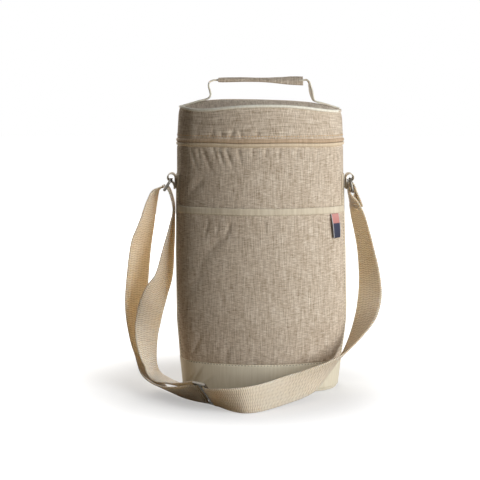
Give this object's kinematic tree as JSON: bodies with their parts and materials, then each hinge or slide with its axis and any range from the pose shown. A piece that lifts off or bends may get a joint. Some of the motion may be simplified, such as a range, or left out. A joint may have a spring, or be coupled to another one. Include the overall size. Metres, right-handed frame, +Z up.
{
  "type": "insulated bottle bag",
  "caption": "Oval insulated cloth carrier for wine bottles with a zipped hinged lid, wrapped carry handle, front pocket, side rings and an adjustable webbing shoulder strap.",
  "frame": {"origin": "middle of the flat base, on the floor the bag stands on", "axes": "+Z up along the bag's height, front pocket facing -Y, +X to the right seen from the front"},
  "size_m": [0.3179, 0.2029, 0.383],
  "materials": {
    "cloth": "melange linen-look weave, matt",
    "cream_tape": "cream woven tape, matt",
    "base_cloth": "smooth cloth, slight sheen",
    "zip_tape": "woven zip tape, matt",
    "zip_coil": "moulded coil, satin",
    "webbing": "ribbed sand webbing, matt",
    "metal": "nickel plated, polished",
    "foam": "closed-cell foam sheet",
    "liner": "wipe-clean silvery film",
    "board": "plain stiffener board",
    "label": "plain folded ribbon"
  },
  "bodies": {
    "root": {"base_panel": "base_cloth", "base_board": "board", "base_piping": "cream_tape", "base_band": "base_cloth", "back_panel": "cloth", "front_panel": "cloth", "foam_wall": "foam", "liner_wall": "liner", "foam_floor": "foam", "liner_floor": "liner", "bottle_divider": "liner", "pocket_panel": "cloth", "pocket_binding": "cream_tape", "side_label": "label", "left_side_tape": "cream_tape", "left_ring_loop": "cream_tape", "right_side_tape": "cream_tape", "right_ring_loop": "cream_tape", "lower_zip_tape": "zip_tape", "lower_zip_coil": "zip_coil", "lid_hinge_strip": "cloth", "strap_long": "webbing", "strap_return": "webbing", "strap_adjuster": "metal"},
    "lid": {"lid_band": "cloth", "lid_piping": "cream_tape", "lid_top_panel": "cloth", "lid_foam_top": "foam", "lid_foam_band": "foam", "lid_liner_top": "liner", "lid_liner_band": "liner", "upper_zip_tape": "zip_tape", "upper_zip_coil": "zip_coil", "handle_webbing_left": "cream_tape", "handle_webbing_right": "cream_tape"},
    "handle": {"handle_grip": "cloth", "handle_core": "cream_tape"},
    "zip_slider": {"zip_slider": "metal"},
    "zip_puller": {"zip_puller": "metal"},
    "left_ring": {"left_ring": "metal"},
    "right_ring": {"right_ring": "metal"}
  },
  "joints": [
    {"name": "lid_hinge", "type": "hinge", "parent": "root", "child": "lid", "pos_m": [0, 0.0574, 0.305], "axis": [-1, 0, 0], "range_deg": [0, 140], "deforming": ["lid_hinge_strip"]},
    {"name": "handle_swing", "type": "hinge", "parent": "lid", "child": "handle", "pos_m": [0, 0, 0.356], "axis": [1, 0, 0], "range_deg": [-60, 60], "deforming": ["handle_webbing_left", "handle_webbing_right"]},
    {"name": "zip_slider_travel", "type": "hinge", "parent": "root", "child": "zip_slider", "pos_m": [0.059, 0, 0.305], "axis": [0, 0, 1], "range_deg": [-111, 0]},
    {"name": "puller_swing", "type": "hinge", "parent": "zip_slider", "child": "zip_puller", "pos_m": [0.08876, 0.03547, 0.305], "axis": [0.766, -0.6428, 0], "range_deg": [0, 120]},
    {"name": "left_ring_swing", "type": "hinge", "parent": "root", "child": "left_ring", "pos_m": [-0.10899, 0, 0.2589], "axis": [0, 1, 0], "range_deg": [-20, 45], "deforming": ["strap_long", "strap_return"]},
    {"name": "right_ring_swing", "type": "hinge", "parent": "root", "child": "right_ring", "pos_m": [0.10899, 0, 0.2589], "axis": [0, -1, 0], "range_deg": [-10, 55], "deforming": ["strap_long"]}
  ]
}
